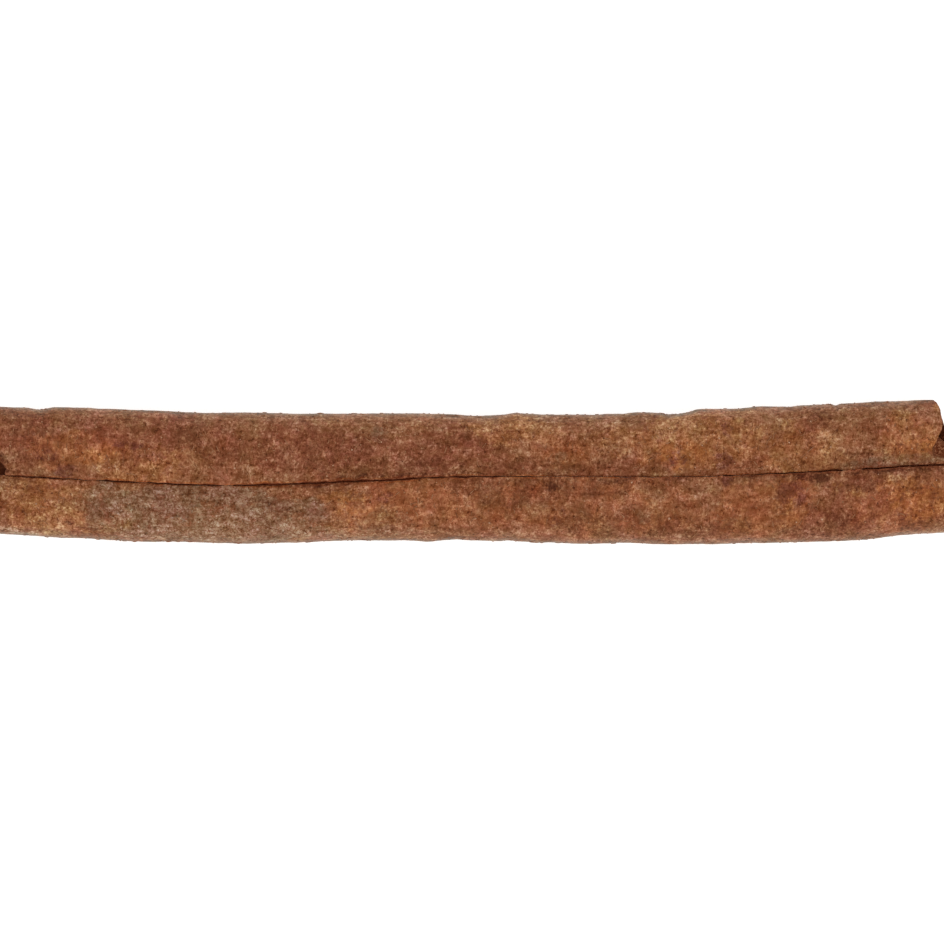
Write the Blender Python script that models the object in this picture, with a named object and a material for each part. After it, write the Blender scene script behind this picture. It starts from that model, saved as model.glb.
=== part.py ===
"""A cinnamon stick: one strip of cassia bark whose two long edges have rolled inwards as it dried.

The two scrolls lie side by side and meet in a seam. The stick lies on its back along X, seam up,
with the far scroll at +Y and the near scroll at -Y. The origin is the middle of its footprint, on
the surface that it lies on. Every length is in metres, and every angle is in degrees.
"""

import math

import bmesh
import bpy

MM = 0.001

# Driving dimensions.
LENGTH = 80.0 * MM
HEIGHT = 5.8 * MM
BARK = 0.95 * MM
TURN_GAP = 0.18 * MM
SEAM_GAP = 0.14 * MM
BACK_HOLLOW = 0.45 * MM

# The stick at evenly spaced stations from its -X end to its +X end: how far the seam strays
# sideways, and how wide the far and the near scroll are.
SEAM_STRAY = [0.00, -0.48, -0.85, -0.51, -0.14, -0.15, -0.11, 0.35, 0.88]
FAR_WIDTH = [5.70, 6.00, 6.03, 5.65, 5.24, 5.22, 5.61, 5.56, 5.48]
NEAR_WIDTH = [4.91, 4.95, 4.86, 4.98, 5.34, 5.58, 5.65, 5.88, 5.67]

# A scroll is followed by its winding angle: -90 under it, 0 on its outer side, 90 on top, 180 at
# the seam, and on inside from there. The bark's long edge lies at the last angle.
BOTTOM, TOP, SEAM = -90.0, 90.0, 180.0
FAR_EDGE, NEAR_EDGE = 500.0, 430.0
TURN_IN_FROM, TURN_IN_OVER = 178.0, 72.0

# A scroll's outline is a superellipse, whose power is 2 where it is round. The scrolls are pressed
# flat against each other, so their shoulders at the seam are square: these are their powers.
ROUND = 2.15
FAR_SHOULDER = [7.0, 8.0, 8.0, 8.0, 7.0, 5.0, 5.0, 7.0, 8.0]
NEAR_SHOULDER = [7.0, 8.0, 8.0, 8.0, 6.0, 4.5, 3.8, 3.0, 2.8]

# Dry bark is wavy. Each wave: its pace in radians over the length, how far it twists round a
# scroll, and its height. A scroll's waves start at its own phase.
WAVES = [(41.0, 1.7, 0.03 * MM), (67.0, 2.3, 0.02 * MM)]
FAR_PHASE, NEAR_PHASE = 2.4, 0.9

# Along the stick one scroll swells a little as the other one sinks, at this pace and phase.
SWELL = 0.12 * MM
SWELL_PACE, SWELL_PHASE = 5.2, 0.6

# The depth of the flats that the stick rests on.
FOOT_DEPTH = 0.15 * MM

# Mesh density.
OUTER_STEP, INNER_STEP = 15.0, 20.0
BACK_PIECES = 6
STATION_PIECES = 27

# Where the cut ends are broken away: winding angles, and the length missing there in millimetres.
BROKEN = {
    ("far", "left"): [
        (-90, 0.3), (0, 0.15), (70, 0.3), (100, 0.5), (113, 0.65), (118, 0.95), (124, 1.15),
        (135, 1.3), (180, 1.1), (230, 1.5), (330, 0.7), (430, 0.9), (475, 1.0), (500, 2.4),
    ],
    ("far", "right"): [
        (-90, 0.8), (-40, 1.4), (0, 1.65), (29, 1.25), (51, 0.85), (72, 0.55), (87, 0.55),
        (100, 0.85), (118, 1.25), (128, 1.35), (132, 0.4), (140, 0.1), (180, 0.0), (250, 0.7),
        (400, 0.5), (450, 0.1), (500, 0.5),
    ],
    ("near", "left"): [
        (-90, 0.5), (0, 0.1), (40, 0.35), (90, 0.0), (125, 0.3), (134, 0.95), (180, 0.3),
        (300, 0.9), (430, 0.4),
    ],
    ("near", "right"): [
        (-90, 0.1), (0, 0.3), (60, 0.1), (110, 0.35), (180, 0.1), (330, 0.7), (430, 0.3),
    ],
}


def along(values, share):
    """The value at a share of the length, on a smooth curve through evenly spaced values."""
    place = share * (len(values) - 1)
    index = min(int(place), len(values) - 2)
    t = place - index
    before = values[max(index - 1, 0)]
    start, end = values[index], values[index + 1]
    after = values[min(index + 2, len(values) - 1)]
    slope, bend = end - before, 2 * before - 5 * start + 4 * end - after
    twist = 3 * (start - end) + after - before
    return start + 0.5 * t * (slope + t * (bend + t * twist))


def eased(t):
    """0 up to 0, 1 from 1 on, and a smooth rise between them."""
    t = min(max(t, 0.0), 1.0)
    return t * t * (3 - 2 * t)


def turned_in(angle):
    """How far a scroll has wound inwards at this angle: by one layer of bark for each turn."""
    layers = 0.0
    start = TURN_IN_FROM
    while start < angle:
        layers += eased((angle - start) / TURN_IN_OVER)
        start += 360.0
    return layers * (BARK + TURN_GAP)


def wave(share, angle, phase):
    """The bark's waviness. It fades out at the seam, where the scrolls press on each other."""
    turn = math.radians(angle)
    swing = 0.0
    for number, (pace, twist, height) in enumerate(WAVES, start=1):
        start = number * phase
        swing += height * math.sin(pace * share + twist * math.sin(turn + start) + start)
    return swing * (1.0 + math.cos(turn)) / 2.0


def scroll_point(share, angle, depth, scroll):
    """Y and Z of the point that far under the bark's outer face, at a scroll's winding angle."""
    far = scroll == "far"
    side, phase = (1.0, FAR_PHASE) if far else (-1.0, NEAR_PHASE)
    width = along(FAR_WIDTH if far else NEAR_WIDTH, share) * MM
    height = HEIGHT + side * SWELL * math.sin(SWELL_PACE * share + SWELL_PHASE)
    turn = math.radians(angle)
    power = ROUND
    if TOP < angle < SEAM:
        shoulder = along(FAR_SHOULDER if far else NEAR_SHOULDER, share)
        power += (shoulder - ROUND) * -math.sin(2.0 * turn)
    reach = (abs(math.cos(turn)) ** power + abs(math.sin(turn)) ** power) ** (-1.0 / power)
    half_width = (width - SEAM_GAP / 2.0) / 2.0
    half_height = height / 2.0
    out = (half_width - depth) * math.cos(turn) * reach
    up = (half_height - depth) * math.sin(turn) * reach
    radius = math.hypot(out, up)
    scale = 1.0 + (wave(share, angle, phase) - turned_in(angle)) / radius
    y = along(SEAM_STRAY, share) * MM + side * (SEAM_GAP / 2.0 + half_width + out * scale)
    return y, half_height + up * scale - FOOT_DEPTH


def winding_angles(edge):
    """The angles at which a scroll is modelled, from under it to its long edge inside."""
    outer = round((SEAM - BOTTOM) / OUTER_STEP)
    inner = round((edge - SEAM) / INNER_STEP)
    angles = [BOTTOM + (SEAM - BOTTOM) * k / outer for k in range(outer)]
    return angles + [SEAM + (edge - SEAM) * k / inner for k in range(inner + 1)]


def back_points(start, end):
    """The hollow back between the points under the two scrolls."""
    points = []
    for k in range(1, BACK_PIECES):
        t = k / BACK_PIECES
        x, y, z = (first + (last - first) * t for first, last in zip(start, end))
        points.append((x, y, z + BACK_HOLLOW * (1.0 - math.cos(2.0 * math.pi * t)) / 2.0))
    return points


def missing(scroll, end, angle):
    """How much of the bark's length is missing from a cut end at this winding angle."""
    pairs = BROKEN[scroll, end]
    for (start, first), (stop, last) in zip(pairs, pairs[1:]):
        if angle <= stop:
            return (first + (last - first) * (angle - start) / (stop - start)) * MM
    return pairs[-1][1] * MM


def scroll_line(station, depth, scroll, edge):
    """Points round one scroll at a station, from under the scroll to the bark's long edge."""
    points = []
    for angle in winding_angles(edge):
        start = missing(scroll, "left", angle)
        stop = LENGTH - missing(scroll, "right", angle)
        place = start + (stop - start) * station
        y, z = scroll_point(place / LENGTH, angle, depth, scroll)
        points.append((place - LENGTH / 2.0, y, max(z, 0.0)))
    return points


def face_points(station, depth):
    """A line across the strip at this depth in it, from the near scroll's edge to the far one's."""
    near = scroll_line(station, depth, "near", NEAR_EDGE)
    far = scroll_line(station, depth, "far", FAR_EDGE)
    return near[::-1] + back_points(near[0], far[0]) + far


def section(station):
    """One ring of points round the strip: along its outer face, and back along its inner one."""
    return face_points(station, 0.0) + face_points(station, BARK)[::-1]


def strip_mesh():
    """The rolled strip as one closed mesh, moved so that its footprint's middle is the origin."""
    rings = [section(k / STATION_PIECES) for k in range(STATION_PIECES + 1)]
    middles = []
    for axis in (0, 1):
        places = [point[axis] for ring in rings for point in ring]
        middles.append((min(places) + max(places)) / 2.0)
    shape = bmesh.new()
    verts = [
        [shape.verts.new((x - middles[0], y - middles[1], z)) for x, y, z in ring]
        for ring in rings
    ]
    count = len(verts[0])
    for first, second in zip(verts, verts[1:]):
        for k in range(count):
            after = (k + 1) % count
            shape.faces.new((first[k], second[k], second[after], first[after]))
    for ring in (verts[0], verts[-1]):
        for k in range(count // 2 - 1):
            shape.faces.new((ring[k], ring[k + 1], ring[count - 2 - k], ring[count - 1 - k]))
    bmesh.ops.recalc_face_normals(shape, faces=shape.faces)
    mesh = bpy.data.meshes.new("cinnamon_stick")
    shape.to_mesh(mesh)
    shape.free()
    mesh.shade_smooth()
    mesh.set_sharp_from_angle(angle=math.radians(45.0))
    return mesh


def bark_material():
    """Matt, warm brown cassia bark."""
    material = bpy.data.materials.new("bark")
    material.use_nodes = True
    surface = material.node_tree.nodes["Principled BSDF"]
    surface.inputs["Base Color"].default_value = (0.239, 0.089, 0.040, 1.0)
    surface.inputs["Roughness"].default_value = 0.8
    surface.inputs["Metallic"].default_value = 0.0
    return material


def main():
    for leftover in list(bpy.data.objects):
        bpy.data.objects.remove(leftover)
    stick = bpy.data.objects.new("cinnamon_stick", strip_mesh())
    stick.data.materials.append(bark_material())
    bpy.context.scene.collection.objects.link(stick)


main()
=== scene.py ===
"""The looks of a cassia cinnamon stick: its bark, its rough cut ends, and the crumbs and fibres on it.

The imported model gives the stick's box and place. Here the same strip of bark is rolled again at a
fine scale, with the relief of dry bark and broken ends, and it takes the place of the plain solid.
Every length is in metres and every angle in degrees, apart from the shader's own coordinates.
"""

import math

import bmesh
import bpy
import numpy as np
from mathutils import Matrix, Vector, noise

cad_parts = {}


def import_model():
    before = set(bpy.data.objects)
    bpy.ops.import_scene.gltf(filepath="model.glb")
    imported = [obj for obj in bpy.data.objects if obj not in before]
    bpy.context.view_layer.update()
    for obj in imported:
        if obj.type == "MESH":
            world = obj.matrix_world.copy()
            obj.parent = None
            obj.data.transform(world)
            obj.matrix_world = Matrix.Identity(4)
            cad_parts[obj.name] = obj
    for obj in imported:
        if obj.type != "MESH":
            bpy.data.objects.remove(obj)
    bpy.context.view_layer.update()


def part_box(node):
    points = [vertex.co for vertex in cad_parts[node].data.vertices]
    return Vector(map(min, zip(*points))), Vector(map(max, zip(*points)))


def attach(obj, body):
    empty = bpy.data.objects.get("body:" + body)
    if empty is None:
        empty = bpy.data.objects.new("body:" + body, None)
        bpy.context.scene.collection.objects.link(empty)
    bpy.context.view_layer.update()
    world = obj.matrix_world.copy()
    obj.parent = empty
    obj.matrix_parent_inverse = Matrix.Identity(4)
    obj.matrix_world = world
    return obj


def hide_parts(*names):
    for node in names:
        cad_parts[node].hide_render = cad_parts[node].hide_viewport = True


MM = 0.001
NODE = "cinnamon_stick"
BODY = "root"

# The seeds of all that is random, and how far apart the noise of two neighbouring seeds lies.
SEED = 7
INNER_SEED, WARP_SEED, CAP_SEED, LIP_SEED = SEED + 10, SEED + 20, SEED + 30, SEED + 40
SEED_DISTANCE = 17.3
# Noise comes in hills, given here by their length and breadth in millimetres and by their octaves.
# It is nil along its own lattice, so a line of noise is read at this share of a hill off it.
OFF_LATTICE = 0.3

# The rolled strip, as the part's own source has it.
HEIGHT = 5.8 * MM
BARK = 0.95 * MM
TURN_GAP = 0.18 * MM
BACK_HOLLOW = 0.45 * MM
FOOT_DEPTH = 0.15 * MM
SEAM_STRAY = [0.00, -0.48, -0.85, -0.51, -0.14, -0.15, -0.11, 0.35, 0.88]
FAR_WIDTH = [5.70, 6.00, 6.03, 5.65, 5.24, 5.22, 5.61, 5.56, 5.48]
NEAR_WIDTH = [4.91, 4.95, 4.86, 4.98, 5.34, 5.58, 5.65, 5.88, 5.67]
BOTTOM, TOP, SEAM = -90.0, 90.0, 180.0
FAR_EDGE, NEAR_EDGE = 500.0, 430.0
TURN_IN_FROM, TURN_IN_OVER = 178.0, 72.0
ROUND = 2.15
WAVES = [(41.0, 1.7, 0.03 * MM), (67.0, 2.3, 0.02 * MM)]
FAR_PHASE, NEAR_PHASE = 2.4, 0.9
SWELL = 0.12 * MM
SWELL_PACE, SWELL_PHASE = 5.2, 0.6

# The fine strip's own values start here. How square the scrolls' shoulders are at the seam:
FAR_SHOULDER = [40.0, 44.0, 50.0, 44.0, 60.0, 70.0, 60.0, 24.0, 18.0]
NEAR_SHOULDER = [40.0, 40.0, 40.0, 36.0, 50.0, 60.0, 36.0, 15.0, 13.0]
# And how far they stand apart there: thousandths of the length, and the gap in millimetres.
SEAM_GAP = [
    (8, 0.12), (45, 0.12), (49, 0.30), (57, 0.30), (60, 0.10), (71, 0.06), (80, 0), (118, 0),
    (121, 0.20), (149, 0.13), (152, 0.02), (163, 0.02), (168, 0.10), (200, 0.13), (254, 0.16),
    (322, 0.25), (342, 0.37), (368, 0.41), (388, 0.32), (426, 0.30), (480, 0.26), (511, 0.16),
    (530, 0.16), (543, 0.07), (562, 0.05), (572, 0), (638, 0), (645, 0.03), (660, 0.03),
    (668, 0), (690, 0.02), (710, 0), (762, 0), (765, 0.38), (771, 0.38), (774, 0.02),
    (836, 0.06), (848, 0.10), (882, 0.10), (888, 0), (905, 0), (910, 0.07), (948, 0.08),
    (994, 0.09),
]

# The gap closes at this depth below the lips, and this much is left of it on either side.
SEAM_DEPTH = 0.28 * MM
PRESSED_GAP = 0.004 * MM
# Where the gap is narrower than this, the shoulders are squarer, up to this power.
TOUCHING_GAP, TOUCHING_SHOULDER = 0.05 * MM, 130.0
# The lips are ragged: the hills, the steps in which each is read, how far the seam strays sideways,
# the share by which its gap widens and narrows, and the winding angles over which it comes in.
RAGGED_HILLS, RAGGED_STEPS = (1.1, 1.1, 3), 16
RAGGED_STRAY, RAGGED_SWING = 0.060 * MM, 1.1
RAGGED_FROM, RAGGED_OVER = 108.0, 26.0

# Where the cut ends are broken away: winding angles, and the length missing there in millimetres.
BROKEN = {
    ("far", "left"): [
        (-90, 0.3), (0, 0.15), (70, 0.3), (100, 0.5), (112, 0.54), (118, 0.57), (122, 0.62),
        (124.5, 0.78), (126.5, 1.08), (129, 1.25), (131, 1.5), (133, 1.2), (137, 1.3), (180, 1.7),
        (230, 2.0), (330, 1.8), (430, 2.0), (460, 2.3), (475, 2.7), (500, 3.2),
    ],
    ("far", "right"): [
        (-90, 0.1), (-60, 0.55), (-45, 0.85), (-20, 1.45), (0, 1.65), (15, 1.45), (29, 1.2),
        (36, 1.08), (51, 0.9), (65, 0.82), (76, 0.77), (87, 0.84), (94, 1.0), (100, 1.15),
        (108, 1.33), (117, 1.6), (127, 1.6), (129.5, 0.6), (132, 0.3), (140, 0.1), (180, 0),
        (250, 0.7), (400, 0.9), (424, 0.8), (432, 0.1), (450, 0.1), (500, 0.5),
    ],
    ("near", "left"): [
        (-90, 0.5), (0, 0.1), (40, 0.35), (90, 0), (125, 0.3), (130, 0.5), (134, 0.95),
        (138, 0.9), (180, 0.3), (300, 0.9), (430, 0.4),
    ],
    ("near", "right"): [
        (-90, 0.1), (0, 0.3), (60, 0.1), (110, 0.35), (180, 0.1), (330, 0.7), (430, 0.3),
    ],
}
# Where a break runs aslant through the bark: winding angles, and how many millimetres further the
# inner face reaches than the outer one.
SLANTED = {
    ("far", "right"): [(104, 0), (112, 0.8), (120, 1.3), (127, 1.4), (130, 0.3), (134, 0)],
}
# Chips along the ends' edges, and their depth.
CHIP_HILLS, CHIP_DEPTH = (1.0, 0.35, 3), 0.08 * MM
# The cut faces bulge by this much, more or less by the swing's share of it, in these hills.
FRACTURE, FRACTURE_SWING, FRACTURE_HILLS = 0.07 * MM, 1.5, (0.25, 0.25, 3)
# The steps in which a cut face crosses the bark's thickness.
CAP_LAYERS = 6

# The winding angle of the sharp lips where the scrolls meet.
LIP = 135.0

# Mesh density: the winding angles at which the columns' step changes, and the steps after each.
STEP_STOPS = (BOTTOM, 0.0, 100.0, 126.0, LIP, 142.0, SEAM)
OUTER_STEPS = (7.0, 3.3, 2.2, 1.3, 1.2, 10.0, 15.0)
INNER_STEPS = (18.0, 20.0, 13.0, 9.0, 7.0, 19.0, 15.0)
BACK_PIECES = 10
OUTER_STATIONS, INNER_STATIONS = 416, 208
# The share by which the stations stand closer together at the cut ends.
CROWDING = 0.2
# Faces that meet at a sharper angle than this keep a hard edge between them.
SHARP_ANGLE = 60.0

# The materials' order on the strip, and where on the shader's flat strip its other faces lie.
OUTER_LOOK, PRESSED_LOOK, INNER_LOOK, CUT_LOOK = range(4)
INNER_LAYER, CUT_LAYER = 40.0 * MM, 80.0 * MM

# Points past the box's sides and top are squeezed into this much room inside them.
SIDE_ROOM, TOP_ROOM = 0.08 * MM, 0.20 * MM

# Relief of the bark's faces: its hills, with their height in millimetres.
OUTER_RELIEF = [
    (7.0, 3.0, 1, 0.040), (1.9, 1.3, 2, 0.040), (6.0, 0.5, 2, 0.020), (0.6, 2.6, 1, 0.008),
    (0.5, 0.45, 2, 0.020),
]
INNER_RELIEF = [(9.0, 0.35, 2, 0.025), (2.0, 1.5, 1, 0.020)]
# The relief fades out where the scrolls' sides press on each other.
PRESSED_FROM, PRESSED_OVER = 134.0, 8.0

# Dents in each scroll: thousandths of the length, winding angle, half length in millimetres, half
# turn, and depth in millimetres. A negative depth is a bump.
DENTS = {
    "far": [
        (6, 122, 1.3, 16, 0.4), (50, 5, 1.3, 50, 0.14), (512, 5, 2.8, 55, 0.13),
        (547, 5, 1, 45, -0.08), (630, 5, 1, 45, 0.07), (672, 5, 1.4, 45, -0.09),
        (713, 5, 2.2, 60, 0.34), (728, 5, 0.5, 45, 0.12), (802, 5, 1.8, 45, -0.1),
        (831, 5, 1.1, 40, 0.07), (881, 5, 0.4, 45, 0.16), (978, 5, 2, 45, -0.11),
    ],
    "near": [
        (455, 5, 1.3, 45, -0.11), (484, 5, 1, 45, 0.05), (539, 5, 0.9, 45, 0.1),
        (568, 5, 1.5, 45, -0.08), (664, 5, 2.2, 45, 0.07), (710, 5, 1.3, 45, -0.08),
        (752, 5, 1.1, 45, -0.08), (793, 5, 2.6, 45, 0.07),
    ],
}

# The bark's hue drifts between two tints, twice over: how finely it drifts, and both tints, which
# multiply red, green and blue.
HUE_DRIFTS = [
    (0.41, (0.91, 1.07, 1.01), (1.09, 0.93, 0.99)),
    (0.37, (1.00, 0.96, 1.11), (1.00, 1.04, 0.89)),
]
# What each kind of patch multiplies red, green and blue by. Light patches show where the mottling
# is light, and dark ones where it is dark.
LIGHT_TINTS = {
    "ochre": (1.22, 1.28, 1.12),
    "amber": (1.14, 1.05, 0.93),
    # Pale dust, and painted rim light on the scrolls' outer sides.
    "dust_and_painted_rim_light": (1.10, 1.25, 1.30),
    # Grey ash, and a painted highlight on the far lip.
    "ash_and_painted_highlight": (0.86, 1.05, 1.26),
    "cork": (1.00, 1.32, 1.60),
    # Pale spots, and a painted reflection along the near scroll's rim.
    "pale": (1.30, 1.70, 2.05),
    "chalk": (1.25, 1.30, 1.28),
}
DARK_TINTS = {
    "rust": (0.89, 0.78, 0.81),
    # Umber mottling, and painted shade beside the seam and on the near scroll's slope that the window
    # lights more.
    "umber_and_painted_shade": (0.76, 0.70, 0.65),
    "plum": (0.64, 0.53, 0.63),
    # Painted shadow: in bands along the seam and on the broken, dented left end.
    "painted_shadow": (0.45, 0.33, 0.26),
    # Painted shade: it darkens green and blue and warms red.
    "shade": (1.06, 0.73, 0.37),
}
# The patches of each kind on each scroll: thousandths of the length, winding angle, half length and
# half breadth in millimetres, and strength. Mottling breaks up a patch, less so a strong one.
PATCHES = {
    ("ochre", "far"): [
        (150, 119, 4.4, 1.4, 1), (545, 60, 4.6, 1.6, 0.9), (655, 80, 2.2, 1.4, 0.6),
        (720, 80, 3.4, 2.6, 1), (745, 112, 4, 1.2, 0.8), (780, 88, 3, 1.8, 0.8),
        (832, 76, 1.1, 1.3, 0.8), (848, 114, 3.6, 1.4, 1), (955, 103, 2.8, 2.2, 1),
        (984, 40, 0.3, 0.5, 1),
    ],
    ("ochre", "near"): [
        (60, 87, 3.6, 2.7, 0.9), (100, 120, 2.4, 0.7, 0.6), (108, 60, 3.2, 0.9, 0.7),
        (367, 118, 2.4, 0.5, 0.9), (385, 70, 3.4, 1.6, 0.6), (835, 90, 2.2, 1.1, 0.5),
        (930, 120, 5, 0.8, 0.6), (963, 92, 2.4, 1.6, 0.8), (972, 114, 1.4, 0.7, 0.6),
    ],
    ("amber", "far"): [
        (85, 100, 4.2, 1.4, 1), (600, 105, 3, 1.2, 0.6), (717, 112, 2.6, 1.2, 0.7),
        (965, 116, 2.2, 1.1, 0.8),
    ],
    ("amber", "near"): [
        (430, 100, 5.5, 2.2, 1), (600, 98, 12, 2.4, 0.6), (805, 93, 4.5, 2.2, 1),
        (950, 85, 4.6, 2.4, 0.9),
    ],
    # Pale dust. The patches at about 32 to 47 degrees run along the scrolls' outer sides as painted
    # rim light.
    ("dust_and_painted_rim_light", "far"): [
        (375, 45, 5, 0.9, 0.8), (500, 42, 42, 1.5, 0.65), (655, 45, 2.4, 0.9, 1),
        (717, 66, 2.2, 1.1, 0.9), (790, 45, 2.4, 0.9, 0.9), (920, 47, 6, 0.9, 0.9),
    ],
    ("dust_and_painted_rim_light", "near"): [
        (30, 32, 4, 0.9, 0.9), (60, 94, 4.6, 2.2, 0.5), (120, 42, 10, 0.9, 0.5),
        (440, 38, 4.5, 0.9, 0.6), (655, 45, 2.4, 1, 0.9), (745, 40, 5, 0.8, 0.6),
        (970, 72, 2, 1.2, 0.45),
    ],
    ("ash_and_painted_highlight", "near"): [
        (120, 100, 1.8, 2, 1), (205, 108, 8.8, 1.6, 1.2), (320, 90, 2.6, 1.6, 1.1),
        (410, 62, 3, 1.4, 0.6), (678, 80, 0.6, 0.7, 0.6),
    ],
    # Grey ash patches. The thin one along the far lip at 129 degrees is a painted highlight on its
    # edge.
    ("ash_and_painted_highlight", "far"): [
        (404, 68, 0.7, 0.8, 0.7), (593, 108, 0.6, 0.4, 0.7), (942, 129, 4.6, 0.5, 0.8),
    ],
    ("cork", "near"): [
        (168, 62, 4, 1.5, 1.1), (255, 60, 6.4, 1.9, 1.3), (300, 58, 3.3, 0.5, 1.3),
        (340, 48, 2.8, 1, 0.7),
    ],
    # Pale spots. The long one at 28 degrees on the near scroll's outer side is a painted reflection
    # along that rim.
    ("pale", "near"): [(8, 128, 0.6, 0.4, 0.8), (20, 28, 3, 0.8, 0.6)],
    ("chalk", "near"): [(144, 62, 0.7, 0.6, 0.9), (160, 105, 1.2, 0.6, 0.5)],
    ("rust", "far"): [
        (30, 75, 3, 2, 0.8), (95, 64, 2.8, 1.1, 0.7), (160, 74, 6, 2.3, 1), (340, 89, 7, 2, 0.85),
        (470, 98, 5, 2, 1),
    ],
    ("rust", "near"): [
        (885, 75, 1.7, 0.9, 1), (902, 112, 2.4, 1.5, 1), (905, 70, 2.8, 1.6, 0.8),
        (935, 102, 1.6, 0.8, 0.75), (958, 66, 2.8, 1, 0.35),
    ],
    # Umber patches of the bark's own colour. Those at about 118 to 129 degrees are painted shade along
    # the lips by the seam, and those at about 56 to 66 degrees on the near scroll are painted shade on
    # the slope that the window lights more.
    ("umber_and_painted_shade", "far"): [
        (40, 72, 3, 1, 0.5), (45, 118, 2.6, 1.5, 0.8), (227, 82, 3, 1.8, 0.6),
        (345, 90, 6.5, 1.4, 0.6), (420, 126, 6.5, 0.9, 0.9), (500, 90, 6, 1, 0.45),
        (562, 126, 4.4, 0.8, 0.8), (655, 96, 2.4, 1, 0.5), (655, 127, 5, 0.8, 0.8),
        (863, 72, 1.4, 1.5, 0.85), (915, 126, 7, 1, 1),
    ],
    ("umber_and_painted_shade", "near"): [
        (35, 127, 2.6, 0.6, 0.7), (100, 66, 2.4, 0.8, 0.6), (160, 122, 2.4, 0.8, 0.6),
        (165, 98, 1.7, 1.9, 0.7), (290, 102, 2.2, 1.5, 0.7), (405, 66, 2.2, 0.8, 0.7),
        (450, 129, 28, 0.6, 0.4), (520, 126, 4, 0.8, 0.9), (535, 108, 2.2, 0.9, 0.8),
        (590, 126, 6, 0.9, 1), (650, 56, 1.1, 0.5, 1), (655, 126, 3, 0.8, 0.7),
        (683, 64, 9, 1.3, 0.85), (750, 128, 9.5, 0.7, 0.5), (850, 58, 2.8, 1.9, 0.9),
        (900, 66, 2.4, 0.8, 0.8), (902, 127, 4.2, 0.8, 1), (940, 129, 5.5, 0.6, 0.8),
        (963, 45, 2.2, 1, 0.8), (965, 110, 2, 0.8, 0.6),
    ],
    ("plum", "far"): [
        (58, 110, 1.3, 0.4, 0.7), (78, 128, 1, 0.5, 0.9), (145, 91, 1.4, 0.3, 0.7),
        (714, 119, 0.8, 0.8, 0.9), (762, 122, 0.8, 0.7, 0.9), (764, 70, 0.7, 0.7, 0.6),
    ],
    ("plum", "near"): [
        (410, 114, 0.8, 0.6, 0.6), (587, 78, 0.8, 1, 0.5), (767, 132, 0.5, 0.45, 1.2),
        (833, 115, 1.4, 0.9, 0.9), (948, 66, 0.4, 0.4, 0.7),
    ],
    # Painted shadow beside the seam's lips, and at the left end where the far scroll bends down.
    ("painted_shadow", "far"): [
        (8, 122, 0.8, 0.9, 1), (12, 130, 0.7, 0.4, 1), (440, 134, 11, 0.25, 0.55),
        (586, 131, 0.7, 0.3, 0.6), (670, 134.5, 8.5, 0.15, 0.4), (960, 134.5, 4, 0.2, 0.5),
    ],
    ("painted_shadow", "near"): [
        (345, 134, 3, 0.25, 0.7), (586, 126, 0.7, 0.5, 0.7), (648, 131, 0.9, 0.3, 0.7),
        (660, 134, 9.5, 0.25, 0.5), (856, 130, 1.6, 0.4, 1), (880, 134, 9.5, 0.25, 0.6),
        (975, 134, 3.2, 0.35, 0.5),
    ],
    # A narrow band of painted shade along both lips at the seam.
    ("shade", "far"): [(500, 135, 42, 0.08, 1)],
    ("shade", "near"): [(500, 135, 42, 0.08, 1)],
}
# A patch fades out over this share of its size, and is warped by this share of it, in these hills.
PATCH_RIM, PATCH_WARP, WARP_HILLS = 0.7, 0.5, (2.5, 2.5, 2)
# A mottled strength at which a tint starts to show, and one at which it shows in full.
TINT_FROM, TINT_FULL = 0.2, 1.0
# How strongly the mottling strengthens a patch in some places and weakens it in others.
MOTTLING = 5.0
# The winding angles over which the bark wound inside a scroll is darkened, as painted shade.
INSIDE_FROM, INSIDE_OVER = 150.0, 40.0

# Crumbs and fibres lie between these winding angles.
LOOSE_FROM, LOOSE_TO = -50.0, 132.0
# And this many rows or more from the cut ends, where they start, and where a fibre has to stop.
START_MARGIN, STOP_MARGIN = 3.0, 1.0

# Crumbs: how many, the radii of the smallest and the largest, and how the radii are spread between
# the two, as a power. On an upright face, where few stay, a crumb shrinks to the steep share.
CRUMBS = 1500
CRUMB_RADIUS, CRUMB_POWER = (0.030 * MM, 0.095 * MM), 0.45
CRUMB_STEEP = 0.15
# How uneven a crumb is, how flat, and how far its middle lies off the bark, in shares of its radius.
CRUMB_UNEVEN, CRUMB_FLATNESS, CRUMB_RISE = (0.7, 1.3), 0.6, 0.3

# Fibres: how many, their length, their radius, and points along and round each.
FIBRES = 1100
FIBRE_LENGTH = (0.2 * MM, 0.6 * MM)
FIBRE_RADIUS = (0.026 * MM, 0.045 * MM)
FIBRE_POINTS, FIBRE_SIDES = 5, 4
# How far their headings stray from straight across the bark, and how much they bend, in radians.
FIBRE_STRAY, FIBRE_TURN = 0.8, 0.22
# The shares of its radius that a fibre has at its tips, and that its middle line lies off the bark.
FIBRE_TIP, FIBRE_RISE = 0.35, 0.4

# The spread of the loose bits' paleness, as the two powers of a beta distribution.
CRUMB_PALENESS, FIBRE_PALENESS = (1.4, 1.4), (2.0, 1.5)

WHITE = (1.0, 1.0, 1.0, 1.0)
# The stage: half the white sheet's side, how white it is, and how strongly it glows.
SHEET_REACH, SHEET_WHITE, SHEET_GLOW = 2.0, 0.8, 0.6
# The even light from all around, and the window: its light, its breadth in degrees, how far it
# leans towards the near scroll's side, and how far it is turned.
AMBIENT, WINDOW_LIGHT, WINDOW_BREADTH = 0.85, 0.45, 50.0
WINDOW_LEAN, WINDOW_TURN = 42.0, -12.0
# The camera looks straight down from here. Its sensor and lens are in millimetres.
CAMERA_PLACE = (0.08 * MM, 0.01 * MM, 600.0 * MM)
CAMERA_SENSOR, CAMERA_LENS = 36.0, 272.6
CAMERA_NEAREST, CAMERA_FARTHEST = 0.01, 10.0


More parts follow.
